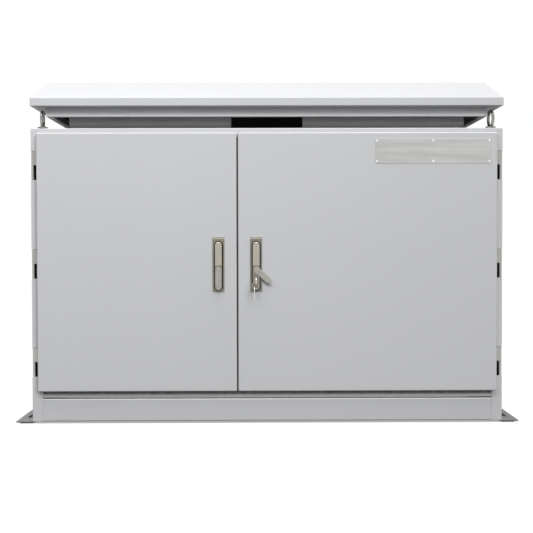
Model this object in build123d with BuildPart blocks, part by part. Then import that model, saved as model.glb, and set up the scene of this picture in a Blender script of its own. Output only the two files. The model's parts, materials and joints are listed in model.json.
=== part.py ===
from build123d import *
import math
import os

# Roadside utility cabinet, millimetres.
# Origin on the ground at the middle of the base, front towards -Y, +X to the right, +Z up.

# Body
BODY_W = 1600.0
BODY_D = 600.0
BODY_H = 1000.0
SHEET = 2.0
BEND_R = 3.0
REAR_RETURN = 30.0
FLOOR_Z = 104.0
LAP_CLEAR = 0.3

# Door fronts and the frame lip that their gaskets close on
DOOR_DEPTH = 25.0
DOOR_GAP = 3.0
DOOR_EDGE = 9.0
DOOR_CORNER_R = 4.0
DOOR_BOTTOM_Z = 109.0
DOOR_TOP_DROP = 18.0
DOOR_SIDE_REVEAL = 23.0
DOOR_SPLIT_X = -101.0
DOOR_SPLIT_GAP = 5.0
LIP_SET = 13.0
GASKET_W = 14.0
GASKET_CLEAR = 0.3

# Plinth and feet
PLINTH_TOP_Z = 80.5
GROOVE = 4.5
FOOT_T = 4.0
FOOT_OUT = 57.0
FOOT_LEG = 60.0
FOOT_SLOT_W = 18.0
FOOT_SLOT_L = 70.0
FOOT_SLOT_OUT = 26.0
FOOT_SLOT_IN = 135.0

# Roof canopy and curb
ROOF_IN_X = 1.0
ROOF_IN_Y = 8.0
FASCIA_UP = 74.0
FASCIA_H = 26.0
RIDGE_RISE = 94.0
COLLAR_IN_X = 47.0
COLLAR_IN_Y = 40.0
COLLAR_DROP = 32.0
COLLAR_LIP = 20.0
CURB_IN_X = 113.0
CURB_IN_Y = 120.0
CURB_FLANGE = 22.0
CURB_PORT_HALF_W = 124.0
CURB_PORT_SILL = 4.0
CURB_PORT_H = 78.0
VENT_W = 260.0
VENT_D = 200.0
VENT_SPACING = 380.0
VENT_LAP = 15.0
VENT_T = 1.5
VENT_PITCH = 20.0
VENT_ROWS = 9
VENT_BRIDGE = 14.0

# Hinges
HINGE_FROM_BOTTOM = 97.0
HINGE_FROM_TOP = 108.0
HINGE_H = 97.0
HINGE_SPLIT = 1.0
KNUCKLE_R = 6.0
PIN_R = 3.0
PIN_CLEAR = 0.1
LEAF_T = 2.5
HINGE_LEAF_L = 40.0
NOTCH_PAST_X = 7.0
NOTCH_PAST_Y = 5.0
NOTCH_CLEAR = 1.0

# Swing-handle locks
LOCK_EDGE = 61.0
LOCK_DROP = 5.5
DISH_W = 39.0
DISH_H = 185.0
DISH_PROUD = 4.0
RIM = 3.0
PAN_T = 1.2
PAN_DEPTH = 12.0
PAN_GAP = 3.0
BEVEL_H = 8.0
BEVEL_D = 3.0
SPINDLE_DROP = 30.0
SPINDLE_R = 6.0
SLEEVE_R = 11.0
HANDLE_W = 24.0
HANDLE_T = 12.0
HANDLE_GAP = 0.6
HANDLE_TOP = 18.5
HANDLE_BOTTOM = 4.5
HANDLE_END_CUT = 2.0
HANDLE_EDGE_R = 3.0
HANDLE_PIN_R = 2.0
COVER_IN = 3.5
COVER_L = 79.0
COVER_T = 2.5
COVER_PIVOT = 9.0
COVER_PIN_R = 2.0
COVER_RECESS = 4.0
COVER_SHOULDER = 13.5
COVER_TAPER = 15.0
COVER_NOSE_R = 6.5
COVER_HOLE_R = 1.5
RIGHT_COVER_SWING = 48.0
PLUG_R = 5.5
BARREL_R = 8.0
PLUG_DOWN = 39.0
CAM_R = 16.0
CAM_PIN_R = 3.0
ROD_W = 16.0
ROD_T = 3.0
ROD_END_GAP = 5.0
YOKE_CLEAR = 0.8
GUIDE_INSET = 75.0
GUIDE_W = 32.0
GUIDE_LEG = 24.0
GUIDE_PAST = 8.0

# Nameplate, lifting eyes, fittings inside
PLATE_W = 391.5
PLATE_H = 81.7
PLATE_T = 1.5
PLATE_RIGHT = 21.0
PLATE_DOWN = 22.0
EYE_X = 37.0
EYE_IN_FRONT = 17.0
EYE_IN_REAR = 42.0
EYE_FLANGE_R = 17.5
EYE_FLANGE_H = 8.0
EYE_RING_R = 26.0
EYE_WIRE_R = 5.0
EYE_H = 62.0
EYE_SHANK_R = 8.0
EYE_SHANK_L = 27.0
EYE_TURN = {(-1, -1): 4.0, (1, -1): 5.0, (-1, 1): -4.0, (1, 1): 9.0}
GLAND_Y = 120.0
GLAND_W = 340.0
GLAND_D = 160.0
GLAND_LAP = 20.0
BACKPLATE_T = 2.5
BACKPLATE_STANDOFF = 40.0
BACKPLATE_WALL = 80.0
BACKPLATE_POST = 55.0
BACKPLATE_FLOOR = 136.0
BACKPLATE_TOP = 120.0
STUD_IN = 20.0
STUD_R = 4.0
RAIL_PITCH = 160.0
RAIL_UP = 20.0
RAIL_IN = 40.0
RAIL_W = 35.0
RAIL_SLOT_W = 25.0
RAIL_D = 7.5
EARTH_L = 260.0
EARTH_W = 25.0
EARTH_T = 5.0
EARTH_STANDOFF = 13.0
EARTH_UP = 70.0
HAT_FOOT = 17.0
HAT_W = 36.0
HAT_D = 16.0
HAT_T = 1.5
HAT_END = 70.0
GUSSET_T = 6.0
GUSSET_X = 80.0
GUSSET_Y = 74.0
GUSSET_IN_X = 8.0
GUSSET_IN_Y = 12.0
EYE_NUT_H = 13.0
RIVET_R = 3.5
RIVET_H = 2.0
RIVET_IN = 6.0

# Worked-out planes and places
FRONT_Y = -BODY_D / 2
FRAME_Y = FRONT_Y + DOOR_DEPTH
REAR_Y = BODY_D / 2
HALF_W = BODY_W / 2
DOOR_TOP_Z = BODY_H - DOOR_TOP_DROP
LOCK_Z = (DOOR_TOP_Z + DOOR_BOTTOM_Z) / 2 - LOCK_DROP
HINGE_Z = (DOOR_BOTTOM_Z + HINGE_FROM_BOTTOM, LOCK_Z, DOOR_TOP_Z - HINGE_FROM_TOP)
NOTCH_W = 2 * KNUCKLE_R + NOTCH_PAST_X
NOTCH_D = 2 * KNUCKLE_R + NOTCH_PAST_Y
FOOT_SLOT_Y = REAR_Y - FOOT_SLOT_IN
FASCIA_Z = BODY_H + FASCIA_UP
CURB_HALF_W = HALF_W - CURB_IN_X
CURB_HALF_D = REAR_Y - CURB_IN_Y
VENT_X = (-VENT_SPACING, 0.0, VENT_SPACING)
COVER_W = HANDLE_W - COVER_IN
HANDLE_END_R = HANDLE_W / 2 - HANDLE_END_CUT
DOOR_BACK_Y = FRAME_Y - DOOR_GAP
DOOR_OUT_X = HALF_W - DOOR_SIDE_REVEAL
LIP_X = DOOR_OUT_X - LIP_SET
LIP_Y = FRONT_Y + SHEET + 10.0
LIP_TOP_Z = DOOR_TOP_Z - LIP_SET
LIP_BOTTOM_Z = DOOR_BOTTOM_Z + LIP_SET
POST_HALF = DOOR_SPLIT_GAP / 2 + LIP_SET + SHEET
LIP_REACH = LIP_X - LAP_CLEAR
LIP_SPANS = [(-LIP_REACH, DOOR_SPLIT_X - POST_HALF + SHEET), (DOOR_SPLIT_X + POST_HALF - SHEET, LIP_REACH)]
AXIS_X = HALF_W - KNUCKLE_R
AXIS_Y = FRAME_Y + KNUCKLE_R
GROOVE_TOP_Z = PLINTH_TOP_Z + GROOVE
EYE_Y = {-1: FRAME_Y + EYE_IN_FRONT, 1: REAR_Y - EYE_IN_REAR}
ROOF_X = HALF_W - ROOF_IN_X
ROOF_Y = REAR_Y - ROOF_IN_Y
EAVE_Z = FASCIA_Z + FASCIA_H
RIDGE_Z = EAVE_Z + RIDGE_RISE
ROOF_SLOPE = math.atan2(RIDGE_RISE, ROOF_Y)
ROOF_UNDER_Z = RIDGE_Z - SHEET / math.cos(ROOF_SLOPE)
BACKPLATE_Y = REAR_Y - 2 * SHEET - BACKPLATE_STANDOFF - BACKPLATE_T

DOORS = {
    "left": {"hand": -1, "outer": -DOOR_OUT_X, "free": DOOR_SPLIT_X - DOOR_SPLIT_GAP / 2},
    "right": {"hand": 1, "outer": DOOR_OUT_X, "free": DOOR_SPLIT_X + DOOR_SPLIT_GAP / 2},
}

os.makedirs("parts", exist_ok=True)


def save(piece, name):
    piece.part.label = name
    export_step(piece.part, f"parts/{name}.step")


def block(x, y, z, mode=Mode.ADD):
    """A rectangular block between two limits on each axis, for the builder around it."""
    solid = Solid.make_box(abs(x[1] - x[0]), abs(y[1] - y[0]), abs(z[1] - z[0]))
    add(solid.moved(Location((min(x), min(y), min(z)))), mode=mode)


def folded(plane, points, side, radius=BEND_R, thickness=SHEET):
    """The section of a folded sheet whose one face runs along the points."""
    with BuildSketch(plane) as section:
        with BuildLine():
            FilletPolyline(*points, radius=radius)
            offset(amount=thickness, side=side)
        make_face()
    return section.sketch


def rod_along(plane, at, radius, amount):
    """A round bar from a point of a plane along its normal."""
    with BuildSketch(plane) as section:
        with Locations(at):
            Circle(radius)
    return extrude(section.sketch, amount=amount, mode=Mode.PRIVATE)


def arched(plane, centre_x, bottom, top, width, bottom_radius):
    """An outline with a half-round top and rounded lower corners."""
    half = width / 2
    with BuildSketch(plane) as outline:
        with BuildLine():
            left = centre_x - half
            right = centre_x + half
            Polyline((right, top - half), (right, bottom), (left, bottom), (left, top - half))
            ThreePointArc((left, top - half), (centre_x, top), (right, top - half))
        make_face()
        fillet(outline.vertices().group_by(Axis.Y)[0], bottom_radius)
    return outline.sketch


# Body sheets


def side_panel(hand):
    """Side wall folded round the front stile and the rear return, with the frame lip."""
    wall = hand * HALF_W
    path = [
        (hand * (LIP_X - SHEET), LIP_Y),
        (hand * (LIP_X - SHEET), FRAME_Y + SHEET),
        (hand * (HALF_W - SHEET), FRAME_Y + SHEET),
        (hand * (HALF_W - SHEET), REAR_Y - SHEET),
        (hand * (HALF_W - REAR_RETURN), REAR_Y - SHEET),
    ]
    with BuildPart() as panel:
        with BuildSketch(Plane.XY.offset(FOOT_T)) as section:
            with BuildLine():
                Polyline(
                    (hand * LIP_X, LIP_Y),
                    (hand * LIP_X, FRAME_Y),
                    (wall, FRAME_Y),
                    (wall, REAR_Y),
                    (path[4][0], REAR_Y),
                    *reversed(path),
                    close=True,
                )
            make_face()
        extrude(amount=BODY_H - SHEET - FOOT_T)
        # The stile stops under the head rail, and the lip frames only the door opening.
        past = hand * (LIP_X - 2 * SHEET)
        edge = hand * LIP_X
        block((past, edge), (LIP_Y, FRAME_Y + SHEET), (0, LIP_BOTTOM_Z), Mode.SUBTRACT)
        block((past, edge), (LIP_Y, FRAME_Y + SHEET), (LIP_TOP_Z, BODY_H), Mode.SUBTRACT)
        block((past, wall), (LIP_Y, FRAME_Y + BEND_R), (DOOR_TOP_Z, BODY_H), Mode.SUBTRACT)
        # Notches for the three hinges
        for z in HINGE_Z:
            low = z - HINGE_H / 2 - NOTCH_CLEAR
            high = z + HINGE_H / 2 + NOTCH_CLEAR
            notch_x = (hand * (HALF_W - NOTCH_W), hand * (HALF_W + SHEET))
            block(notch_x, (FRAME_Y - SHEET, FRAME_Y + NOTCH_D), (low, high), Mode.SUBTRACT)
        corner = panel.edges().filter_by(Axis.Z).group_by(SortBy.LENGTH)[-1]
        outer = corner.filter_by(lambda e: abs(e.center().X - wall) < 0.1 and e.center().Y > 0)
        fillet(outer, BEND_R)
    return panel


for side, hand in (("left", -1), ("right", 1)):
    save(side_panel(hand), f"side_panel_{side}")

with BuildPart() as top_panel:
    # Flat top with the head rail folded down and its lip turned forward
    section = folded(
        Plane.YZ.offset(-HALF_W),
        [(REAR_Y, BODY_H), (FRAME_Y, BODY_H), (FRAME_Y, DOOR_TOP_Z)],
        Side.LEFT,
    )
    extrude(section, amount=BODY_W)
    block((-LIP_REACH, LIP_REACH), (FRAME_Y, FRAME_Y + SHEET), (LIP_TOP_Z, DOOR_TOP_Z))
    for span in LIP_SPANS:
        block(span, (LIP_Y, FRAME_Y + SHEET), (LIP_TOP_Z, LIP_TOP_Z + SHEET))
    for x in VENT_X:
        vent_x = (x - VENT_W / 2, x + VENT_W / 2)
        block(vent_x, (-VENT_D / 2, VENT_D / 2), (BODY_H - 5, BODY_H + 5), Mode.SUBTRACT)
    for sx in (-1, 1):
        for sy in (-1, 1):
            with Locations((sx * (HALF_W - EYE_X), EYE_Y[sy], BODY_H)):
                Hole(EYE_SHANK_R + 0.5)
save(top_panel, "top_panel")

with BuildPart() as rear_panel:
    half = HALF_W - SHEET - LAP_CLEAR
    block((-half, half), (REAR_Y - 2 * SHEET, REAR_Y - SHEET), (FOOT_T, BODY_H - SHEET))
save(rear_panel, "rear_panel")

with BuildPart() as sill_rail:
    # Face under the doors: lip forward at the top, return inwards at the groove
    block((-LIP_REACH, LIP_REACH), (FRAME_Y, FRAME_Y + SHEET), (GROOVE_TOP_Z, LIP_BOTTOM_Z))
    for span in LIP_SPANS:
        block(span, (LIP_Y, FRAME_Y + SHEET), (LIP_BOTTOM_Z - SHEET, LIP_BOTTOM_Z))
    block((-LIP_REACH, LIP_REACH), (FRAME_Y, FRAME_Y + 20), (GROOVE_TOP_Z, GROOVE_TOP_Z + SHEET))
save(sill_rail, "sill_rail")

with BuildPart() as plinth_front:
    # Lower front panel with a rolled top edge
    section = folded(
        Plane.YZ.offset(-LIP_X + LAP_CLEAR),
        [
            (FRAME_Y + 22, PLINTH_TOP_Z),
            (FRAME_Y, PLINTH_TOP_Z),
            (FRAME_Y, FOOT_T),
            (FRAME_Y + 22, FOOT_T),
        ],
        Side.LEFT,
        radius=BEND_R + 1,
    )
    extrude(section, amount=2 * (LIP_X - LAP_CLEAR))
save(plinth_front, "plinth_front")

with BuildPart() as floor_panel:
    half = HALF_W - SHEET
    block((-half, half), (FRAME_Y + SHEET, REAR_Y - 2 * SHEET), (FLOOR_Z, FLOOR_Z + SHEET))
    hole_x = GLAND_W / 2 - GLAND_LAP
    hole_y = GLAND_D / 2 - GLAND_LAP
    hole_depth = (GLAND_Y - hole_y, GLAND_Y + hole_y)
    block((-hole_x, hole_x), hole_depth, (FLOOR_Z - 5, FLOOR_Z + 10), Mode.SUBTRACT)
save(floor_panel, "floor_panel")

with BuildPart() as centre_post:
    # Closed post with the two frame lips for the meeting doors
    with BuildSketch(Plane.XY.offset(LIP_BOTTOM_Z)):
        with Locations((DOOR_SPLIT_X, FRAME_Y + 15)):
            Rectangle(2 * POST_HALF, 30)
            Rectangle(2 * (POST_HALF - SHEET), 30 - 2 * SHEET, mode=Mode.SUBTRACT)
        for side in (-1, 1):
            with Locations((DOOR_SPLIT_X + side * (POST_HALF - SHEET / 2), (LIP_Y + FRAME_Y) / 2)):
                Rectangle(SHEET, FRAME_Y - LIP_Y)
    extrude(amount=LIP_TOP_Z - LIP_BOTTOM_Z)
save(centre_post, "centre_post")


def base_rail(hand):
    """Angle whose flat leg stands out as the slotted foot."""
    inner = hand * (HALF_W - SHEET - FOOT_T)
    with BuildPart() as rail:
        with BuildSketch(Plane.XZ.offset(-REAR_Y)):
            with BuildLine():
                Polyline(
                    (hand * (HALF_W + FOOT_OUT), 0),
                    (hand * (HALF_W + FOOT_OUT), FOOT_T),
                    (hand * (HALF_W - SHEET), FOOT_T),
                    (hand * (HALF_W - SHEET), FOOT_LEG),
                    (inner, FOOT_LEG),
                    (inner, 0),
                    close=True,
                )
            make_face()
        extrude(amount=REAR_Y - FRAME_Y)
        # Room for the folded front and rear returns of the side panel
        front = (FRAME_Y - SHEET, FRAME_Y + SHEET + LAP_CLEAR)
        rear = (REAR_Y - 2 * SHEET - LAP_CLEAR, REAR_Y + SHEET)
        for y in (front, rear):
            block((inner, hand * (HALF_W - SHEET)), y, (FOOT_T, FOOT_LEG), Mode.SUBTRACT)
        with BuildSketch(Plane.XY):
            with Locations(
                (hand * (HALF_W + FOOT_SLOT_OUT), FOOT_SLOT_Y),
                (hand * (HALF_W + FOOT_SLOT_OUT), -FOOT_SLOT_Y),
            ):
                SlotOverall(FOOT_SLOT_L, FOOT_SLOT_W, rotation=90)
        extrude(amount=FOOT_T, mode=Mode.SUBTRACT)
    return rail


for side, hand in (("left", -1), ("right", 1)):
    save(base_rail(hand), f"base_rail_{side}")


# Roof


def under_roof(y):
    """Height of the roof sheet's underside above a place across the cabinet."""
    return ROOF_UNDER_Z - RIDGE_RISE * abs(y) / ROOF_Y


def gable_section(plane, half_depth, floor_z, drop):
    """House-shaped section under the roof slope, lowered by a drop."""
    eave = under_roof(half_depth) - drop
    with BuildSketch(plane) as section:
        with BuildLine():
            Polyline(
                (-half_depth, floor_z),
                (half_depth, floor_z),
                (half_depth, eave),
                (0, ROOF_UNDER_Z - drop),
                (-half_depth, eave),
                close=True,
            )
        make_face()
    return section.sketch


with BuildPart() as roof_canopy:
    # Sloped sheet, fascia, soffit and inset collar
    with BuildSketch(Plane.YZ.offset(-ROOF_X)):
        with BuildLine():
            Polyline(
                (-ROOF_Y, FASCIA_Z),
                (ROOF_Y, FASCIA_Z),
                (ROOF_Y, EAVE_Z),
                (0, RIDGE_Z),
                (-ROOF_Y, EAVE_Z),
                close=True,
            )
        make_face()
    extrude(amount=2 * ROOF_X)
    hollow = gable_section(Plane.YZ.offset(SHEET - ROOF_X), ROOF_Y - SHEET, FASCIA_Z + SHEET, 0)
    extrude(hollow, amount=2 * (ROOF_X - SHEET), mode=Mode.SUBTRACT)
    collar_x = ROOF_X - COLLAR_IN_X
    collar_y = ROOF_Y - COLLAR_IN_Y
    with BuildSketch(Plane.XY.offset(FASCIA_Z - COLLAR_DROP)):
        Rectangle(2 * collar_x, 2 * collar_y)
    extrude(amount=COLLAR_DROP)
    with BuildSketch(Plane.XY.offset(FASCIA_Z - COLLAR_DROP + SHEET)):
        Rectangle(2 * (collar_x - SHEET), 2 * (collar_y - SHEET))
    extrude(amount=COLLAR_DROP + SHEET, mode=Mode.SUBTRACT)
    with BuildSketch(Plane.XY.offset(FASCIA_Z - COLLAR_DROP)):
        Rectangle(2 * (collar_x - COLLAR_LIP), 2 * (collar_y - COLLAR_LIP))
    extrude(amount=SHEET, mode=Mode.SUBTRACT)
save(roof_canopy, "roof_canopy")

with BuildPart() as roof_curb:
    # Walled box under the slope with a port in the front wall, a flange along the slope and one on the body
    outer = gable_section(Plane.YZ.offset(-CURB_HALF_W), CURB_HALF_D, BODY_H, 0)
    extrude(outer, amount=2 * CURB_HALF_W)
    inner_start = Plane.YZ.offset(SHEET - CURB_HALF_W)
    inner = gable_section(inner_start, CURB_HALF_D - SHEET, BODY_H + SHEET, SHEET / math.cos(ROOF_SLOPE))
    extrude(inner, amount=2 * (CURB_HALF_W - SHEET), mode=Mode.SUBTRACT)
    with BuildSketch(Plane.XY.offset(BODY_H)):
        Rectangle(2 * (CURB_HALF_W - CURB_FLANGE), 2 * (CURB_HALF_D - CURB_FLANGE))
    extrude(amount=RIDGE_Z - BODY_H, mode=Mode.SUBTRACT)
    port_z = (BODY_H + CURB_PORT_SILL, BODY_H + CURB_PORT_SILL + CURB_PORT_H)
    port_x = (-CURB_PORT_HALF_W, CURB_PORT_HALF_W)
    block(port_x, (-CURB_HALF_D - 5, 0), port_z, Mode.SUBTRACT)
save(roof_curb, "roof_curb")

with BuildPart() as vent_screens:
    # Slotted plates under the vents of the top panel
    with BuildSketch(Plane.XY.offset(BODY_H - SHEET - VENT_T)):
        with Locations([(x, 0) for x in VENT_X]):
            Rectangle(VENT_W + 2 * VENT_LAP, VENT_D + 2 * VENT_LAP)
            with GridLocations(VENT_W / 2, VENT_PITCH, 2, VENT_ROWS):
                Rectangle(VENT_W / 2 - VENT_BRIDGE, VENT_PITCH / 2, mode=Mode.SUBTRACT)
    extrude(amount=VENT_T)
save(vent_screens, "vent_screens")


# Lifting eyes


def lifting_eye(sx, sy):
    """Forged eye bolt: flange, neck, ring and shank."""
    ring_z = BODY_H + EYE_H - EYE_RING_R - EYE_WIRE_R
    neck_z = ring_z - EYE_RING_R + EYE_WIRE_R / 2
    with BuildPart() as eye:
        with BuildSketch(Plane.XZ):
            with BuildLine():
                Polyline(
                    (0, BODY_H - EYE_SHANK_L),
                    (EYE_SHANK_R, BODY_H - EYE_SHANK_L),
                    (EYE_SHANK_R, BODY_H),
                    (EYE_FLANGE_R, BODY_H),
                    (EYE_FLANGE_R, BODY_H + EYE_FLANGE_H * 0.6),
                    (EYE_SHANK_R + 2, neck_z),
                    (0, neck_z),
                    close=True,
                )
            make_face()
        revolve(axis=Axis.Z)
        with BuildSketch(Plane.XZ):
            with Locations((0, ring_z + EYE_RING_R)):
                Circle(EYE_WIRE_R)
        revolve(axis=Axis((0, 0, ring_z), (1, 0, 0)))
    place = Location((sx * (HALF_W - EYE_X), EYE_Y[sy], 0), (0, 0, EYE_TURN[(sx, sy)]))
    return eye.part.moved(place)


CORNERS = [(sx, sy) for sy in (-1, 1) for sx in (-1, 1)]

with BuildPart() as lifting_eyes:
    for sx, sy in CORNERS:
        add(lifting_eye(sx, sy))
save(lifting_eyes, "lifting_eyes")

with BuildPart() as corner_gussets:
    # Reinforcing plates under the top panel at the four eyes
    corners = [(sx * (HALF_W - EYE_X - GUSSET_IN_X), EYE_Y[sy] - sy * GUSSET_IN_Y) for sx, sy in CORNERS]
    eyes = [(sx * (HALF_W - EYE_X), EYE_Y[sy]) for sx, sy in CORNERS]
    with BuildSketch(Plane.XY.offset(BODY_H - SHEET - GUSSET_T)):
        with Locations(corners):
            RectangleRounded(GUSSET_X, GUSSET_Y, 6)
        with Locations(eyes):
            Circle(EYE_SHANK_R + 0.5, mode=Mode.SUBTRACT)
    extrude(amount=GUSSET_T)
    # The plates stop short of the folded walls.
    limit_x = HALF_W - SHEET
    limits_y = (FRAME_Y + BEND_R, REAR_Y - 2 * SHEET)
    cut = (BODY_H - 20, BODY_H)
    block((-HALF_W - 50, -limit_x), (-REAR_Y, REAR_Y), cut, Mode.SUBTRACT)
    block((limit_x, HALF_W + 50), (-REAR_Y, REAR_Y), cut, Mode.SUBTRACT)
    block((-HALF_W, HALF_W), (-REAR_Y - 50, limits_y[0]), cut, Mode.SUBTRACT)
    block((-HALF_W, HALF_W), (limits_y[1], REAR_Y + 50), cut, Mode.SUBTRACT)
save(corner_gussets, "corner_gussets")

with BuildPart() as eye_nuts:
    with BuildSketch(Plane.XY.offset(BODY_H - SHEET - GUSSET_T - EYE_NUT_H)):
        with Locations(eyes):
            RegularPolygon(12, 6, major_radius=False)
            Circle(EYE_SHANK_R, mode=Mode.SUBTRACT)
    extrude(amount=EYE_NUT_H)
save(eye_nuts, "eye_nuts")


# Doors


def door_skin(door):
    """Folded tray: front sheet, returns on four sides and a turned-in edge at the back."""
    x0, x1 = sorted((door["outer"], door["free"]))
    width = x1 - x0
    height = DOOR_TOP_Z - DOOR_BOTTOM_Z
    centre = ((x0 + x1) / 2, (DOOR_TOP_Z + DOOR_BOTTOM_Z) / 2)
    depth = DOOR_BACK_Y - FRONT_Y
    with BuildPart() as skin:
        with BuildSketch(Plane.XZ.offset(-DOOR_BACK_Y)):
            with Locations(centre):
                RectangleRounded(width, height, DOOR_CORNER_R)
        extrude(amount=depth)
        fillet(skin.faces().sort_by(Axis.Y)[0].edges(), BEND_R)
        with BuildSketch(Plane.XZ.offset(-DOOR_BACK_Y + SHEET)):
            with Locations(centre):
                RectangleRounded(width - 2 * SHEET, height - 2 * SHEET, 1.0)
        extrude(amount=depth - 2 * SHEET, mode=Mode.SUBTRACT)
        with BuildSketch(Plane.XZ.offset(-DOOR_BACK_Y)):
            with Locations(centre):
                Rectangle(width - 2 * DOOR_EDGE, height - 2 * DOOR_EDGE)
        extrude(amount=SHEET, mode=Mode.SUBTRACT)
        cut_w = DISH_W - 2 * RIM + 2 * PAN_T + 2 * LAP_CLEAR
        cut_h = DISH_H - 2 * RIM + 2 * PAN_T + 2 * LAP_CLEAR
        with BuildSketch(Plane.XZ.offset(-FRONT_Y)):
            with Locations((lock_x(door), LOCK_Z)):
                Rectangle(cut_w, cut_h)
        extrude(amount=-SHEET, mode=Mode.SUBTRACT)
    return skin


def lock_x(door):
    """Centre of the lock, set in from the free edge."""
    return door["free"] + door["hand"] * LOCK_EDGE


def door_gasket(door):
    """Foam strip on the inside of the skin, opposite the frame lip."""
    inset = LIP_SET + SHEET / 2
    x0, x1 = sorted((door["outer"], door["free"]))
    centre = ((x0 + x1) / 2, (DOOR_TOP_Z + DOOR_BOTTOM_Z) / 2)
    width = x1 - x0 - 2 * inset
    height = DOOR_TOP_Z - DOOR_BOTTOM_Z - 2 * inset
    with BuildPart() as gasket:
        with BuildSketch(Plane.XZ.offset(-(LIP_Y - GASKET_CLEAR))):
            with Locations(centre):
                RectangleRounded(width + GASKET_W, height + GASKET_W, GASKET_W)
                RectangleRounded(width - GASKET_W, height - GASKET_W, GASKET_W / 2, mode=Mode.SUBTRACT)
        extrude(amount=LIP_Y - GASKET_CLEAR - FRONT_Y - SHEET)
    return gasket


def door_stiffeners(places):
    """Hat sections that stiffen the skin from top to bottom."""
    inside = FRONT_Y + SHEET
    height = DOOR_TOP_Z - DOOR_BOTTOM_Z - 2 * HAT_END
    top = HAT_W / 2
    foot = top + HAT_FOOT
    crown = inside + HAT_D
    with BuildPart() as hats:
        for x in places:
            section = folded(
                Plane.XY.offset(DOOR_BOTTOM_Z + HAT_END),
                [
                    (x - foot, inside),
                    (x - top, inside),
                    (x - top, crown),
                    (x + top, crown),
                    (x + top, inside),
                    (x + foot, inside),
                ],
                Side.LEFT,
                radius=HAT_T + 0.6,
                thickness=HAT_T,
            )
            extrude(section, amount=height)
    return hats


# Hinges


def hinge_levels(z):
    """Bottom, split and top of one hinge."""
    return z - HINGE_H / 2, z + HINGE_SPLIT, z + HINGE_H / 2


def knuckle(hand, low, high, bore):
    """Round hinge knuckle at the cabinet's corner."""
    with BuildPart() as round_knuckle:
        with BuildSketch(Plane.XY.offset(low)):
            with Locations((hand * AXIS_X, AXIS_Y)):
                Circle(KNUCKLE_R)
                Circle(bore, mode=Mode.SUBTRACT)
        extrude(amount=high - low)
    return round_knuckle.part


with BuildPart() as hinge_frame_leaves:
    # Lower knuckles with their leaves flat on the inside of the side walls
    face = HALF_W - SHEET
    for hand in (-1, 1):
        for z in HINGE_Z:
            low, split, high = hinge_levels(z)
            top = split - HINGE_SPLIT / 2
            add(knuckle(hand, low, top, PIN_R))
            leaf_y = (AXIS_Y + PIN_R + 1, AXIS_Y + HINGE_LEAF_L)
            block((hand * (face - LEAF_T), hand * face), leaf_y, (low, top))
save(hinge_frame_leaves, "hinge_frame_leaves")

with BuildPart() as hinge_pins:
    # Pins pressed into the lower knuckles
    for hand in (-1, 1):
        for z in HINGE_Z:
            low, split, high = hinge_levels(z)
            add(rod_along(Plane.XY.offset(low), (hand * AXIS_X, AXIS_Y), PIN_R, high - low - 1))
save(hinge_pins, "hinge_pins")


def door_leaves(hand):
    """Upper knuckles with their leaves on the back edge of the door."""
    with BuildPart() as leaves:
        for z in HINGE_Z:
            low, split, high = hinge_levels(z)
            bottom = split + HINGE_SPLIT / 2
            add(knuckle(hand, bottom, high, PIN_R + PIN_CLEAR))
            leaf_x = (hand * AXIS_X, hand * (DOOR_OUT_X - DOOR_EDGE))
            block(leaf_x, (DOOR_BACK_Y, DOOR_BACK_Y + LEAF_T), (bottom, high))
            web_x = (hand * (AXIS_X - PIN_R - 1), hand * (AXIS_X - PIN_R - 3.5))
            block(web_x, (DOOR_BACK_Y, AXIS_Y), (bottom, high))
    return leaves


for side, door in DOORS.items():
    hand = door["hand"]
    width = abs(door["outer"] - door["free"])
    save(door_skin(door), f"door_skin_{side}")
    save(door_gasket(door), f"door_gasket_{side}")
    spots = [0.5] if side == "left" else [0.4, 0.7]
    save(door_stiffeners([door["free"] + hand * width * spot for spot in spots]), f"door_stiffeners_{side}")
    save(door_leaves(hand), f"hinge_door_leaves_{side}")


# Locks: dish, spindle with cam, handle, dust cover, cylinder and rods

RIM_Y = FRONT_Y - DISH_PROUD
PAN_FLOOR_Y = RIM_Y + PAN_DEPTH
PAN_BACK_Y = PAN_FLOOR_Y + PAN_T
SLEEVE_END_Y = FRAME_Y - 1.0
CAM_Y = SLEEVE_END_Y + 0.5
CAM_T = 3.0
ROD_Y = CAM_Y + CAM_T + 0.5
HANDLE_BACK_Y = RIM_Y - HANDLE_GAP
HANDLE_FRONT_Y = HANDLE_BACK_Y - HANDLE_T
HANDLE_PIN_Y = HANDLE_BACK_Y - 5.0
COVER_BACK_Y = HANDLE_FRONT_Y + COVER_RECESS - LAP_CLEAR
DISH_TOP_Z = LOCK_Z + DISH_H / 2
DISH_BOTTOM_Z = LOCK_Z - DISH_H / 2
SPINDLE_Z = DISH_TOP_Z - SPINDLE_DROP
HANDLE_TOP_Z = DISH_TOP_Z - HANDLE_TOP
HANDLE_BOTTOM_Z = DISH_BOTTOM_Z + HANDLE_BOTTOM
COVER_TOP_Z = HANDLE_BOTTOM_Z + COVER_L
PIVOT_Z = COVER_TOP_Z - COVER_PIVOT
PLUG_Z = PIVOT_Z - PLUG_DOWN
TONGUE_W = 8.0
TONGUE_R = 5.0
ROD_OFFSET = CAM_R * (1 + math.cos(math.radians(45))) / 2


def at_y(y):
    """Plane facing the front, with X across and Z up, at a place along Y."""
    return Plane.XZ.offset(-y)


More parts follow.
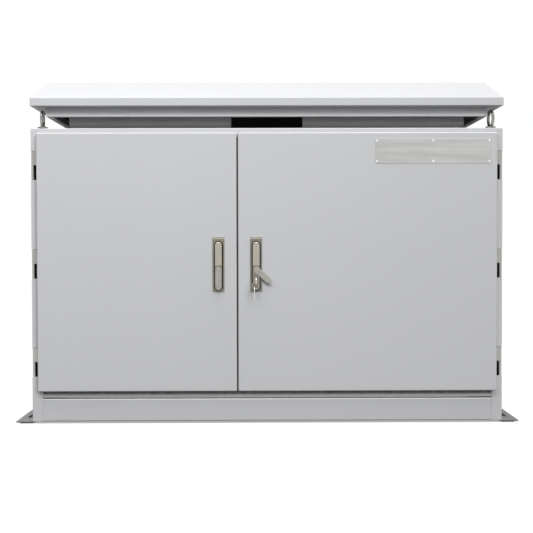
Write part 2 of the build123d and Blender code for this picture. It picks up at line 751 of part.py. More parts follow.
def lock_dish(x):
    """Stainless dish with a proud rim, an arched pan round the handle and the spindle sleeve."""
    with BuildPart() as dish:
        with BuildSketch(at_y(FRONT_Y)):
            with Locations((x, LOCK_Z)):
                RectangleRounded(DISH_W, DISH_H, 1.5)
        extrude(amount=DISH_PROUD)
        # Sloped upper end of the rim
        slope = BEVEL_D / BEVEL_H
        with BuildSketch(Plane.YZ.offset(x - DISH_W)):
            with BuildLine():
                Polyline(
                    (RIM_Y - slope, DISH_TOP_Z - BEVEL_H - 1),
                    (RIM_Y + BEVEL_D + slope, DISH_TOP_Z + 1),
                    (RIM_Y - slope, DISH_TOP_Z + 1),
                    close=True,
                )
            make_face()
        extrude(amount=2 * DISH_W, mode=Mode.SUBTRACT)
        fillet(dish.faces().sort_by(Axis.Y)[0].edges(), 0.8)
        with BuildSketch(at_y(PAN_BACK_Y)):
            with Locations((x, LOCK_Z)):
                Rectangle(DISH_W - 2 * RIM + 2 * PAN_T, DISH_H - 2 * RIM + 2 * PAN_T)
        extrude(amount=PAN_BACK_Y - FRONT_Y)
        low = HANDLE_BOTTOM_Z - PAN_GAP
        high = HANDLE_TOP_Z + PAN_GAP
        width = HANDLE_W + 2 * PAN_GAP
        opening = arched(at_y(PAN_FLOOR_Y), x, low, high, width, HANDLE_END_R + PAN_GAP)
        extrude(opening, amount=PAN_DEPTH + 1, mode=Mode.SUBTRACT)
        with BuildSketch(at_y(SLEEVE_END_Y)):
            with Locations((x, SPINDLE_Z)):
                Circle(SLEEVE_R)
        extrude(amount=SLEEVE_END_Y - PAN_BACK_Y)
        with BuildSketch(at_y(SLEEVE_END_Y)):
            with Locations((x, SPINDLE_Z)):
                Circle(SPINDLE_R + PIN_CLEAR)
        extrude(amount=SLEEVE_END_Y - PAN_FLOOR_Y, mode=Mode.SUBTRACT)
    return dish


def lock_spindle(x):
    """Turned spindle with a flat tongue that carries the handle pin."""
    with BuildPart() as spindle:
        end = CAM_Y + CAM_T
        head = PAN_FLOOR_Y - 3.0
        with BuildSketch(at_y(end)):
            with Locations((x, SPINDLE_Z)):
                Circle(SPINDLE_R)
        extrude(amount=end - PAN_FLOOR_Y)
        with BuildSketch(at_y(PAN_FLOOR_Y - 0.3)):
            with Locations((x, SPINDLE_Z)):
                Circle(SLEEVE_R - 2)
        extrude(amount=3.0)
        tongue_x = (x - TONGUE_W / 2, x + TONGUE_W / 2)
        block(tongue_x, (HANDLE_PIN_Y, head), (SPINDLE_Z - TONGUE_R, SPINDLE_Z + TONGUE_R))
        with BuildSketch(Plane.YZ.offset(x - TONGUE_W / 2)):
            with Locations((HANDLE_PIN_Y, SPINDLE_Z)):
                Circle(TONGUE_R)
        extrude(amount=TONGUE_W)
        with BuildSketch(Plane.YZ.offset(x - TONGUE_W / 2)):
            with Locations((HANDLE_PIN_Y, SPINDLE_Z)):
                Circle(HANDLE_PIN_R + PIN_CLEAR)
        extrude(amount=TONGUE_W, mode=Mode.SUBTRACT)
    return spindle


def cam_pins(x, hand):
    """Places of the upper and lower rod pins at rest."""
    reach = CAM_R * math.cos(math.radians(45))
    return (x - hand * reach, SPINDLE_Z + reach), (x + hand * reach, SPINDLE_Z - reach)


def lock_cam(x, hand):
    """Cam plate with two pins that drive the rods."""
    with BuildPart() as cam:
        with BuildSketch(at_y(CAM_Y + CAM_T)):
            with Locations((x, SPINDLE_Z)):
                Circle(SLEEVE_R)
            with Locations(*cam_pins(x, hand)):
                Circle(CAM_PIN_R + 3)
            make_hull()
            with Locations((x, SPINDLE_Z)):
                Circle(SPINDLE_R, mode=Mode.SUBTRACT)
        extrude(amount=CAM_T)
        with BuildSketch(at_y(ROD_Y + ROD_T + 1)):
            with Locations(*cam_pins(x, hand)):
                Circle(CAM_PIN_R)
        extrude(amount=ROD_Y + ROD_T + 1 - CAM_Y - CAM_T)
    return cam


def lock_handle(x):
    """Lever with an arched top, a fork for the spindle and a recess for the dust cover."""
    with BuildPart() as handle:
        outline = arched(at_y(HANDLE_BACK_Y), x, HANDLE_BOTTOM_Z, HANDLE_TOP_Z, HANDLE_W, HANDLE_END_R)
        extrude(outline, amount=HANDLE_T)
        fillet(handle.faces().sort_by(Axis.Y)[0].edges(), HANDLE_EDGE_R)
        recess_top = PIVOT_Z + COVER_SHOULDER
        wide = (x - HANDLE_W, x + HANDLE_W)
        recess_y = (HANDLE_FRONT_Y - 1, HANDLE_FRONT_Y + COVER_RECESS)
        block(wide, recess_y, (HANDLE_BOTTOM_Z - 1, recess_top), Mode.SUBTRACT)
        fork = TONGUE_W / 2 + 0.4
        fork_z = (SPINDLE_Z - TONGUE_R - 3, HANDLE_TOP_Z + 1)
        fork_y = (HANDLE_BACK_Y + 1, HANDLE_PIN_Y - TONGUE_R - 0.4)
        block((x - fork, x + fork), fork_y, fork_z, Mode.SUBTRACT)
        with BuildSketch(Plane.YZ.offset(x - HANDLE_W / 2)):
            with Locations((HANDLE_PIN_Y, SPINDLE_Z)):
                Circle(HANDLE_PIN_R)
        extrude(amount=HANDLE_W, mode=Mode.SUBTRACT)
        with BuildSketch(at_y(HANDLE_BACK_Y)):
            with Locations((x, PLUG_Z)):
                Circle(BARREL_R)
        extrude(amount=HANDLE_T, mode=Mode.SUBTRACT)
        with BuildSketch(at_y(HANDLE_FRONT_Y + COVER_RECESS)):
            with Locations((x, PIVOT_Z)):
                Circle(COVER_PIN_R)
        extrude(amount=COVER_RECESS - LAP_CLEAR)
        with BuildSketch(at_y(HANDLE_FRONT_Y + 1.1)):
            with Locations((x, PIVOT_Z)):
                Circle(COVER_PIN_R + 1.5)
        extrude(amount=0.8)
    return handle


def handle_pin(x):
    """Cross pin of the handle."""
    with BuildPart() as pin:
        length = HANDLE_W - 1
        add(rod_along(Plane.YZ.offset(x - length / 2), (HANDLE_PIN_Y, SPINDLE_Z), HANDLE_PIN_R, length))
    return pin


def cover_outline(x):
    """Half-round top, straight sides and a tapered round nose."""
    half = COVER_W / 2
    top_z = COVER_TOP_Z - half
    taper_z = HANDLE_BOTTOM_Z + COVER_TAPER
    nose_z = HANDLE_BOTTOM_Z + COVER_NOSE_R
    left_nose = (x - COVER_NOSE_R, nose_z)
    right_nose = (x + COVER_NOSE_R, nose_z)
    with BuildSketch(at_y(COVER_BACK_Y)) as outline:
        with BuildLine():
            Polyline(left_nose, (x - half, taper_z), (x - half, top_z))
            ThreePointArc((x - half, top_z), (x, COVER_TOP_Z), (x + half, top_z))
            Polyline((x + half, top_z), (x + half, taper_z), right_nose)
            ThreePointArc(right_nose, (x, HANDLE_BOTTOM_Z), left_nose)
        make_face()
    return outline.sketch


def dust_cover(x, swing):
    """Cover plate that swings on its pivot over the keyway."""
    with BuildPart() as cover:
        extrude(cover_outline(x), amount=COVER_T)
        fillet(cover.faces().sort_by(Axis.Y)[0].edges(), 0.8)
        with BuildSketch(at_y(COVER_BACK_Y)):
            with Locations((x, PIVOT_Z)):
                Circle(COVER_PIN_R + PIN_CLEAR)
            with Locations((x, HANDLE_BOTTOM_Z + COVER_NOSE_R)):
                Circle(COVER_HOLE_R)
        extrude(amount=COVER_T, mode=Mode.SUBTRACT)
    if swing:
        pivot = Axis((x, 0, PIVOT_Z), (0, 1, 0))
        cover.part = cover.part.rotate(pivot, -swing)
    return cover


def lock_barrel(x):
    """Cylinder housing fixed in the handle."""
    with BuildPart() as barrel:
        with BuildSketch(at_y(HANDLE_BACK_Y)):
            with Locations((x, PLUG_Z)):
                Circle(BARREL_R)
                Circle(PLUG_R + PIN_CLEAR, mode=Mode.SUBTRACT)
        extrude(amount=HANDLE_T - COVER_RECESS)
    return barrel


def lock_plug(x):
    """Turning plug with its keyway."""
    with BuildPart() as plug:
        with BuildSketch(at_y(HANDLE_BACK_Y)):
            with Locations((x, PLUG_Z)):
                Circle(PLUG_R)
        extrude(amount=HANDLE_T - COVER_RECESS)
        with BuildSketch(at_y(HANDLE_FRONT_Y + COVER_RECESS)):
            with Locations((x, PLUG_Z)):
                Rectangle(2.4, 8.4)
        extrude(amount=-6.0, mode=Mode.SUBTRACT)
    return plug


def lock_rod(x, end_z, foot_z, pin_reach):
    """Flat rod with a cross slot that the cam pin runs in."""
    with BuildPart() as rod:
        with BuildSketch(at_y(ROD_Y + ROD_T)):
            with Locations((x, (end_z + foot_z) / 2)):
                Rectangle(ROD_W, abs(end_z - foot_z))
            with Locations((x, pin_reach)):
                RectangleRounded(2 * CAM_PIN_R + CAM_R * 0.3 + 12, 2 * CAM_PIN_R + 12, 4)
                slot_l = CAM_R * (1 - math.cos(math.radians(45))) + 2 * CAM_PIN_R + 2 * YOKE_CLEAR
                SlotOverall(slot_l, 2 * (CAM_PIN_R + YOKE_CLEAR), mode=Mode.SUBTRACT)
        extrude(amount=ROD_T)
    return rod


def rod_guides(x, hand):
    """Angle brackets on the door, each with a slot for its rod."""
    top_z = DOOR_TOP_Z - GUIDE_INSET
    bottom_z = DOOR_BOTTOM_Z + GUIDE_INSET
    inside = FRONT_Y + SHEET
    with BuildPart() as guides:
        for z, rod_x, turn in ((top_z, x - hand * ROD_OFFSET, -1), (bottom_z, x + hand * ROD_OFFSET, 1)):
            span = (rod_x - GUIDE_W / 2, rod_x + GUIDE_W / 2)
            block(span, (inside, inside + SHEET), (z, z + turn * GUIDE_LEG))
            block(span, (inside, ROD_Y + ROD_T + GUIDE_PAST), (z, z + turn * SHEET))
            half = ROD_W / 2 + 0.4
            slot_y = (ROD_Y - 0.4, ROD_Y + ROD_T + 0.4)
            block((rod_x - half, rod_x + half), slot_y, (z - 5, z + 5), Mode.SUBTRACT)
    return guides


for side, door in DOORS.items():
    hand = door["hand"]
    x = lock_x(door)
    reach = CAM_R * math.cos(math.radians(45))
    save(lock_dish(x), f"lock_dish_{side}")
    save(lock_spindle(x), f"lock_spindle_{side}")
    save(lock_cam(x, hand), f"lock_cam_{side}")
    save(lock_handle(x), f"lock_handle_{side}")
    save(handle_pin(x), f"handle_pin_{side}")
    save(dust_cover(x, RIGHT_COVER_SWING if side == "right" else 0), f"dust_cover_{side}")
    save(lock_barrel(x), f"lock_barrel_{side}")
    save(lock_plug(x), f"lock_plug_{side}")
    upper_x = x - hand * ROD_OFFSET
    lower_x = x + hand * ROD_OFFSET
    upper = lock_rod(upper_x, LIP_TOP_Z - ROD_END_GAP, SPINDLE_Z + reach - 6, SPINDLE_Z + reach)
    lower = lock_rod(lower_x, LIP_BOTTOM_Z + ROD_END_GAP, SPINDLE_Z - reach + 6, SPINDLE_Z - reach)
    save(upper, f"lock_rod_upper_{side}")
    save(lower, f"lock_rod_lower_{side}")
    save(rod_guides(x, hand), f"rod_guides_{side}")


# Keys in the right lock

KEY_X = lock_x(DOORS["right"])
KEY_T = 2.0
BOW_R = 12.0
BOW_HOLE = 6.5
BOW_HOLE_R = 3.2
BLADE_W = 7.6
SPARE_BLADE = 20.0
KEY_FACE_Y = HANDLE_FRONT_Y + COVER_RECESS
KEY_IN = 5.5
KEY_OUT = 9.0
BOW_Y = KEY_FACE_Y - KEY_OUT - BOW_R


def key_shape(x, y, z, blade):
    """Flat key with a holed round bow and a blade, in the plane across X."""
    with BuildPart() as key:
        with BuildSketch(Plane.YZ.offset(x - KEY_T / 2)):
            with Locations((y, z)):
                Circle(BOW_R)
            if blade == "in":
                with Locations(((y + KEY_FACE_Y + KEY_IN) / 2, z)):
                    Rectangle(KEY_FACE_Y + KEY_IN - y, BLADE_W)
            else:
                with Locations((y, z - BOW_R - SPARE_BLADE / 2 + 3)):
                    Rectangle(BLADE_W, SPARE_BLADE)
            hole_z = z - BOW_HOLE if blade == "in" else z + BOW_HOLE
            with Locations((y, hole_z)):
                Circle(BOW_HOLE_R, mode=Mode.SUBTRACT)
        extrude(amount=KEY_T)
    return key


RING_R = 11.0
RING_WIRE = 1.8
RING_SET = 9.1
RING_X = KEY_X - 3.0
RING_Z = PLUG_Z - BOW_HOLE - RING_SET

save(key_shape(KEY_X, BOW_Y, PLUG_Z, "in"), "key")

with BuildPart() as key_ring:
    # Ring of flat wire, a little askew in the bow of the key
    with BuildSketch(at_y(BOW_Y + RING_WIRE / 2)):
        with Locations((RING_X, RING_Z)):
            Circle(RING_R + RING_WIRE / 2)
            Circle(RING_R - RING_WIRE / 2, mode=Mode.SUBTRACT)
    extrude(amount=RING_WIRE)
save(key_ring, "key_ring")

save(key_shape(RING_X - 3.0, BOW_Y, RING_Z - RING_SET - BOW_HOLE, "down"), "spare_key")


# Nameplate

PLATE_X1 = DOOR_OUT_X - PLATE_RIGHT
PLATE_CENTRE = (PLATE_X1 - PLATE_W / 2, DOOR_TOP_Z - PLATE_DOWN - PLATE_H / 2)
RIVET_SPOTS = [
    (PLATE_CENTRE[0] + sx * (PLATE_W / 2 - RIVET_IN), PLATE_CENTRE[1] + sz * (PLATE_H / 2 - RIVET_IN))
    for sx in (-1, 0, 1)
    for sz in (-1, 1)
]

with BuildPart() as nameplate:
    with BuildSketch(at_y(FRONT_Y)):
        with Locations(PLATE_CENTRE):
            Rectangle(PLATE_W, PLATE_H)
    extrude(amount=PLATE_T)
save(nameplate, "nameplate")

with BuildPart() as nameplate_rivets:
    with BuildSketch(at_y(FRONT_Y - PLATE_T)):
        with Locations(RIVET_SPOTS):
            Circle(RIVET_R)
    extrude(amount=RIVET_H)
    chamfer(nameplate_rivets.faces().group_by(Axis.Y)[0].edges(), RIVET_H * 0.6)
save(nameplate_rivets, "nameplate_rivets")


# Fittings inside

PLATE_Z0 = FLOOR_Z + BACKPLATE_FLOOR
PLATE_Z1 = BODY_H - BACKPLATE_TOP
LEFT_PLATE = (-HALF_W + BACKPLATE_WALL, DOOR_SPLIT_X - BACKPLATE_POST)
RIGHT_PLATE = (DOOR_SPLIT_X + BACKPLATE_POST, HALF_W - BACKPLATE_WALL)
STUD_SPOTS = [
    (x, z)
    for x0, x1 in (LEFT_PLATE, RIGHT_PLATE)
    for x in (x0 + STUD_IN, x1 - STUD_IN)
    for z in (PLATE_Z0 + STUD_IN, PLATE_Z1 - STUD_IN)
]

with BuildPart() as mounting_plates:
    # Zinc-plated back plates on studs, one for each compartment
    for x_range in (LEFT_PLATE, RIGHT_PLATE):
        block(x_range, (BACKPLATE_Y, BACKPLATE_Y + BACKPLATE_T), (PLATE_Z0, PLATE_Z1))
    with BuildSketch(at_y(BACKPLATE_Y + BACKPLATE_T)):
        with Locations(STUD_SPOTS):
            Circle(STUD_R + 0.5)
    extrude(amount=BACKPLATE_T, mode=Mode.SUBTRACT)
save(mounting_plates, "mounting_plates")

with BuildPart() as plate_stud_group:
    # Shouldered studs on the rear panel
    with BuildSketch(at_y(REAR_Y - 2 * SHEET)):
        with Locations(STUD_SPOTS):
            Circle(STUD_R + 3)
    extrude(amount=BACKPLATE_STANDOFF)
    with BuildSketch(at_y(BACKPLATE_Y + BACKPLATE_T)):
        with Locations(STUD_SPOTS):
            Circle(STUD_R)
    extrude(amount=BACKPLATE_T + 12)
save(plate_stud_group, "plate_studs")

with BuildPart() as plate_nuts:
    with BuildSketch(at_y(BACKPLATE_Y)):
        with Locations(STUD_SPOTS):
            RegularPolygon(6.5, 6, major_radius=False)
            Circle(STUD_R, mode=Mode.SUBTRACT)
    extrude(amount=6.5)
save(plate_nuts, "plate_nuts")

with BuildPart() as din_rails:
    # Top-hat rails across the left plate
    brim_y = BACKPLATE_Y - RAIL_D
    middle = (PLATE_Z0 + PLATE_Z1) / 2 + RAIL_UP
    for z in (middle - RAIL_PITCH, middle, middle + RAIL_PITCH):
        section = folded(
            Plane.YZ.offset(LEFT_PLATE[0] + RAIL_IN),
            [
                (brim_y, z - RAIL_W / 2),
                (brim_y, z - RAIL_SLOT_W / 2),
                (BACKPLATE_Y, z - RAIL_SLOT_W / 2),
                (BACKPLATE_Y, z + RAIL_SLOT_W / 2),
                (brim_y, z + RAIL_SLOT_W / 2),
                (brim_y, z + RAIL_W / 2),
            ],
            Side.LEFT,
            radius=1.1,
            thickness=1.0,
        )
        extrude(section, amount=LEFT_PLATE[1] - LEFT_PLATE[0] - 2 * RAIL_IN)
save(din_rails, "din_rails")

with BuildPart() as earth_bar:
    # Copper bar with a row of holes, on two bosses of the right plate
    centre = (RIGHT_PLATE[0] + RIGHT_PLATE[1]) / 2
    bar_x = (centre - EARTH_L / 2, centre + EARTH_L / 2)
    bar_z = PLATE_Z0 + EARTH_UP
    back_y = BACKPLATE_Y - EARTH_STANDOFF
    block(bar_x, (back_y - EARTH_T, back_y), (bar_z - EARTH_W / 2, bar_z + EARTH_W / 2))
    with BuildSketch(at_y(BACKPLATE_Y)):
        with Locations((bar_x[0] + 15, bar_z), (bar_x[1] - 15, bar_z)):
            Circle(8)
    extrude(amount=EARTH_STANDOFF)
    with BuildSketch(at_y(back_y)):
        with Locations((centre, bar_z)):
            with GridLocations(24, 1, 9, 1):
                Circle(3.5)
    extrude(amount=EARTH_T, mode=Mode.SUBTRACT)
save(earth_bar, "earth_bar")

GLAND_SPOTS = [
    (sx * (GLAND_W / 2 - 10), GLAND_Y + sy * (GLAND_D / 2 - 10))
    for sx in (-1, 0, 1)
    for sy in (-1, 1)
]
with BuildPart() as gland_plate:
    with BuildSketch(Plane.XY.offset(FLOOR_Z + SHEET)):
        with Locations((0, GLAND_Y)):
            RectangleRounded(GLAND_W, GLAND_D, 4)
    extrude(amount=3)
save(gland_plate, "gland_plate")

with BuildPart() as gland_screws:
    with BuildSketch(Plane.XY.offset(FLOOR_Z + SHEET + 3)):
        with Locations(GLAND_SPOTS):
            RegularPolygon(5, 6, major_radius=False)
    extrude(amount=4)
save(gland_screws, "gland_screws")
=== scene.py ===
import json
import math

import bpy
from mathutils import Matrix

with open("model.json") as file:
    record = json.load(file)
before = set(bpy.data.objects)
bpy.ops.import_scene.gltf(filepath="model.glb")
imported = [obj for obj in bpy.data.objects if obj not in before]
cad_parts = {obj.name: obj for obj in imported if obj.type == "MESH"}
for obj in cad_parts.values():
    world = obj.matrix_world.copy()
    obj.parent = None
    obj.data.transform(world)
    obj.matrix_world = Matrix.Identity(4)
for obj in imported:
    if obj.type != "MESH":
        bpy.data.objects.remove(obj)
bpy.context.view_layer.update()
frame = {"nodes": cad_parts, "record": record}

X, Y, Z = range(3)

# Camera of the photograph, in metres and radians
CAMERA_AT = (-0.0240, -3.7248, 0.6135)
CAMERA_YAW = 0.0062
CAMERA_PITCH = 0.0241
CAMERA_ROLL = -0.0022
CAMERA_REACH = 200
FOCAL_PIXELS = 1014.8
PICTURE_PIXELS = 533
SENSOR_MM = 36.0

# Sun lamps: tilt is from straight down, turn is about Z from the front, both in degrees like the spread
SUNS = {
    "top_sun": {"strength": 2.25, "tilt": 4, "turn": 0, "spread": 60, "mirrored": True},
    "front_sun": {"strength": 1.44, "tilt": 68, "turn": 24, "spread": 40, "mirrored": False},
    "back_sun": {"strength": 1.3, "tilt": 60, "turn": -145, "spread": 50, "mirrored": False},
}
SOFTBOX_POWER = 34.0
SOFTBOX_SIZE = (2.6, 0.5)
SOFTBOX_AT = (-0.5, -2.4, 2.35)
SOFTBOX_TILT = 50
WHITE = (1, 1, 1)
WORLD_TINT = (0.93, 0.96, 1.0)
WORLD_FILL = 0.05

# Floor: it shines white to the camera and in mirrors, but not under the cabinet, which paints a shadow there
FLOOR_SIZE = 60.0
FLOOR_DROP = 0.0005
FLOOR_TONE = (0.10, 0.10, 0.10)
FLOOR_WHITE = 0.93
UNDER_GLOW = 0.42
UNDER_FADE = 0.004
FOOT_INSET = (0.012, 0.010)

# Tones, in linear red, green and blue
COAT = (0.62, 0.625, 0.637)
COAT_CLOUDS = (0.607, 0.612, 0.624), (0.632, 0.637, 0.648)
COAT_SPECK = (0.70, 0.71, 0.72)
# painted highlights: paler on every edge of the coat, and paler still on folds that face up
COAT_EDGE_HIGHLIGHT = (0.80, 0.81, 0.82)
COAT_FOLD_HIGHLIGHT = (0.92, 0.92, 0.93)
# painted shade: the dark bands on the sill, the post and the curb
PAINTED_SHADE = (0.16, 0.16, 0.155)
BASE = (0.15, 0.15, 0.155)
BASE_CLEAN = (0.125, 0.125, 0.13)
BASE_DUST = (0.19, 0.188, 0.185)
BASE_EDGE = (0.34, 0.34, 0.34)
ZINC = (0.55, 0.57, 0.59)
ZINC_SPANGLE = (0.34, 0.355, 0.37), (0.52, 0.54, 0.56)
STEEL_WEAR = (0.85, 0.84, 0.82)
COPPER_WEAR = (0.85, 0.55, 0.38)
RING_WEAR = (0.6, 0.59, 0.56)
# painted shade on cast metal behind its front face
CAST_RECESS_SHADE = (0.03, 0.028, 0.024)
# painted highlight on cast metal that faces up
CAST_HIGHLIGHT = (0.95, 0.93, 0.88)
FOAM = (0.03, 0.03, 0.032)
FOAM_PORES = (0.012, 0.012, 0.013), (0.05, 0.05, 0.052)

# Samples of the rounded edges
BEVEL_SAMPLES = 6

# Depth in metres over which a cast piece turns dark behind its face, as painted shade in the recess
FACE_FADE = 0.002
HANDLE_FADE = 0.008

# Painted shade: dark bands in the colour, in metres from the lower edge or the middle of a piece. The photo
# has shadow in these places; the bands make up for the lighter shadow of these lamps.
SILL_SHADE_UP = 0.0135
SILL_SHADE_FADE = 0.007
SLIT_HALF = 0.0045
SLIT_FADE = 0.0015
CORNER_SHADE = 0.7
CURB_SHADE_UP = 0.015
CURB_SHADE_FADE = 0.014
CANOPY_SHADE_UP = 0.0065
CANOPY_SHADE_FADE = 0.003


def add_camera():
    data = bpy.data.cameras.new("camera")
    data.sensor_width = SENSOR_MM
    data.lens = FOCAL_PIXELS / PICTURE_PIXELS * SENSOR_MM
    data.clip_end = CAMERA_REACH
    camera = bpy.data.objects.new("camera", data)
    bpy.context.scene.collection.objects.link(camera)
    turn = Matrix.Rotation(-CAMERA_YAW, 4, "Z") @ Matrix.Rotation(math.pi / 2 - CAMERA_PITCH, 4, "X")
    camera.matrix_world = Matrix.Translation(CAMERA_AT) @ turn @ Matrix.Rotation(CAMERA_ROLL, 4, "Z")
    bpy.context.scene.camera = camera


def box_of(node):
    """The low and the high corner of a frame node, in the node's own coordinates."""
    corners = frame["nodes"][node].bound_box
    return [[pick(corner[axis] for corner in corners) for axis in (X, Y, Z)] for pick in (min, max)]


# Material nodes
def material(name, color, roughness, metallic=0.0):
    """A principled material whose constant values sit on the shader itself."""
    made = bpy.data.materials.new(name)
    made.use_nodes = True
    tree = made.node_tree
    tree.nodes.clear()
    output = tree.nodes.new("ShaderNodeOutputMaterial")
    shader = tree.nodes.new("ShaderNodeBsdfPrincipled")
    shader.inputs["Base Color"].default_value = (*color, 1)
    shader.inputs["Roughness"].default_value = roughness
    shader.inputs["Metallic"].default_value = metallic
    tree.links.new(shader.outputs["BSDF"], output.inputs["Surface"])
    return made, tree, shader


def placed(tree, stretch=(1, 1, 1)):
    """Coordinates in metres on the piece, stretched along its axes."""
    coordinates = tree.nodes.new("ShaderNodeTexCoord")
    mapping = tree.nodes.new("ShaderNodeMapping")
    mapping.inputs["Scale"].default_value = stretch
    tree.links.new(coordinates.outputs["Object"], mapping.inputs["Vector"])
    return mapping.outputs["Vector"]


def noise(tree, scale, detail, roughness=0.5, stretch=(1, 1, 1)):
    texture = tree.nodes.new("ShaderNodeTexNoise")
    texture.inputs["Scale"].default_value = scale
    texture.inputs["Detail"].default_value = detail
    texture.inputs["Roughness"].default_value = roughness
    tree.links.new(placed(tree, stretch), texture.inputs["Vector"])
    return texture.outputs["Fac"]


def grey_cells(tree, scale):
    """Cells that each have one random grey."""
    texture = tree.nodes.new("ShaderNodeTexVoronoi")
    texture.inputs["Scale"].default_value = scale
    tree.links.new(placed(tree), texture.inputs["Vector"])
    grey = tree.nodes.new("ShaderNodeRGBToBW")
    tree.links.new(texture.outputs["Color"], grey.inputs["Color"])
    return grey.outputs["Val"]


def ramp(tree, value, tones, start, end):
    """Two tones over a value from start to end."""
    band = tree.nodes.new("ShaderNodeValToRGB")
    for element, place, tone in zip(band.color_ramp.elements, (start, end), tones):
        element.position = place
        element.color = (*tone, 1)
    tree.links.new(value, band.inputs["Fac"])
    return band.outputs["Color"]


def levels(tree, value, low, high, start=0.0, end=1.0):
    """A value from start..end mapped to low..high."""
    node = tree.nodes.new("ShaderNodeMapRange")
    node.inputs["From Min"].default_value = start
    node.inputs["From Max"].default_value = end
    node.inputs["To Min"].default_value = low
    node.inputs["To Max"].default_value = high
    tree.links.new(value, node.inputs["Value"])
    return node.outputs["Result"]


def mixed(tree, factor, first, second):
    """Two tones mixed; each is a fixed tone or a socket."""
    node = tree.nodes.new("ShaderNodeMix")
    node.data_type = "RGBA"
    tree.links.new(factor, node.inputs["Factor"])
    first_tone, second_tone = [socket for socket in node.inputs if socket.type == "RGBA"]
    for socket, given in ((first_tone, first), (second_tone, second)):
        if isinstance(given, tuple):
            socket.default_value = (*given, 1)
        else:
            tree.links.new(given, socket)
    return next(socket for socket in node.outputs if socket.type == "RGBA")


def bump(tree, height, distance, strength, under=None):
    node = tree.nodes.new("ShaderNodeBump")
    node.inputs["Distance"].default_value = distance
    node.inputs["Strength"].default_value = strength
    tree.links.new(height, node.inputs["Height"])
    if under is not None:
        tree.links.new(under, node.inputs["Normal"])
    return node.outputs["Normal"]


def axis_of(tree, vector, axis):
    parts = tree.nodes.new("ShaderNodeSeparateXYZ")
    tree.links.new(vector, parts.inputs["Vector"])
    return parts.outputs[axis]


def combined(tree, operation, first, second):
    """Two values joined by a math node."""
    node = tree.nodes.new("ShaderNodeMath")
    node.operation = operation
    tree.links.new(first, node.inputs[0])
    tree.links.new(second, node.inputs[1])
    return node.outputs["Value"]


def behind(tree, face_y, fade):
    """1 on what lies behind a plane across the depth, 0 on and before it."""
    return levels(tree, axis_of(tree, placed(tree), Y), 0, 1, start=face_y, end=face_y + fade)


def soft_edges(tree, radius):
    """Normal rounded over the edges, and a mask that is 1 on them."""
    bevel = tree.nodes.new("ShaderNodeBevel")
    bevel.samples = BEVEL_SAMPLES
    bevel.inputs["Radius"].default_value = radius
    geometry = tree.nodes.new("ShaderNodeNewGeometry")
    dot = tree.nodes.new("ShaderNodeVectorMath")
    dot.operation = "DOT_PRODUCT"
    tree.links.new(bevel.outputs["Normal"], dot.inputs[0])
    tree.links.new(geometry.outputs["Normal"], dot.inputs[1])
    return bevel.outputs["Normal"], levels(tree, dot.outputs["Value"], 1, 0, start=0.80, end=0.985)


# Dark bands that stand in for shadow
def sill_painted_shade(tree):
    """Painted shade: 1 on the sill in the band under the door edge, broken into patches."""
    full_z = box_of("sill_rail")[0][Z] + SILL_SHADE_UP
    height = axis_of(tree, placed(tree), Z)
    band = levels(tree, height, 0, 1, start=full_z - SILL_SHADE_FADE, end=full_z)
    patches = levels(tree, noise(tree, scale=40, detail=3), 0.8, 1, start=0.35, end=0.6)
    return combined(tree, "MULTIPLY", band, patches)


def post_painted_shade(tree):
    """Painted shade: 1 on the post in the slit between the doors."""
    low, high = box_of("centre_post")
    slit_x = (low[X] + high[X]) / 2
    left, right = slit_x - SLIT_HALF, slit_x + SLIT_HALF
    across = axis_of(tree, placed(tree), X)
    past_left = levels(tree, across, 0, 1, start=left, end=left + SLIT_FADE)
    before_right = levels(tree, across, 1, 0, start=right - SLIT_FADE, end=right)
    return combined(tree, "MULTIPLY", past_left, before_right)


def curb_painted_shade(tree):
    """Painted shade, strong in the corner at the foot of the roof curb and in the one under the canopy."""
    foot_z = box_of("roof_curb")[0][Z] + CURB_SHADE_UP
    top_z = box_of("roof_canopy")[0][Z] + CANOPY_SHADE_UP
    height = axis_of(tree, placed(tree), Z)
    foot = levels(tree, height, CORNER_SHADE, 0, start=foot_z, end=foot_z + CURB_SHADE_FADE)
    top = levels(tree, height, 0, CORNER_SHADE, start=top_z - CANOPY_SHADE_FADE, end=top_z)
    return combined(tree, "MAXIMUM", foot, top)


# Finishes
def powder_coat(name, shade_mask=None):
    """Light grey powder coat: orange peel, faint clouds, a painted highlight on edges and on folds that lean
    up, and painted shade by a mask.
    """
    made, tree, shader = material(name, COAT, 0.54)
    shader.inputs["Specular IOR Level"].default_value = 0.1
    tone = mixed(tree, noise(tree, scale=2.2, detail=3), *COAT_CLOUDS)
    specks = levels(tree, noise(tree, scale=900, detail=1), 0, 0.22, start=0.60, end=0.80)
    tone = mixed(tree, specks, tone, COAT_SPECK)
    normal, edge = soft_edges(tree, 0.0022)
    # Painted highlight: every edge of the coat is paler
    tone = mixed(tree, levels(tree, edge, 0, 0.5), tone, COAT_EDGE_HIGHLIGHT)
    # Painted highlight: folds and slopes that face up are paler still, as if top light fell on them
    rise = axis_of(tree, normal, Z)
    upward = levels(tree, rise, 0, 1, start=0.15, end=0.4)
    not_flat = levels(tree, rise, 1, 0, start=0.85, end=0.94)
    tone = mixed(tree, combined(tree, "MULTIPLY", upward, not_flat), tone, COAT_FOLD_HIGHLIGHT)
    if shade_mask is not None:
        # painted shade from the mask, darkest where the mask is 1
        tone = mixed(tree, shade_mask(tree), tone, PAINTED_SHADE)
    tree.links.new(tone, shader.inputs["Base Color"])
    tree.links.new(levels(tree, noise(tree, scale=30, detail=4), 0.48, 0.60), shader.inputs["Roughness"])
    peel = noise(tree, scale=420, detail=2)
    tree.links.new(bump(tree, peel, distance=0.00006, strength=0.5, under=normal), shader.inputs["Normal"])
    return made


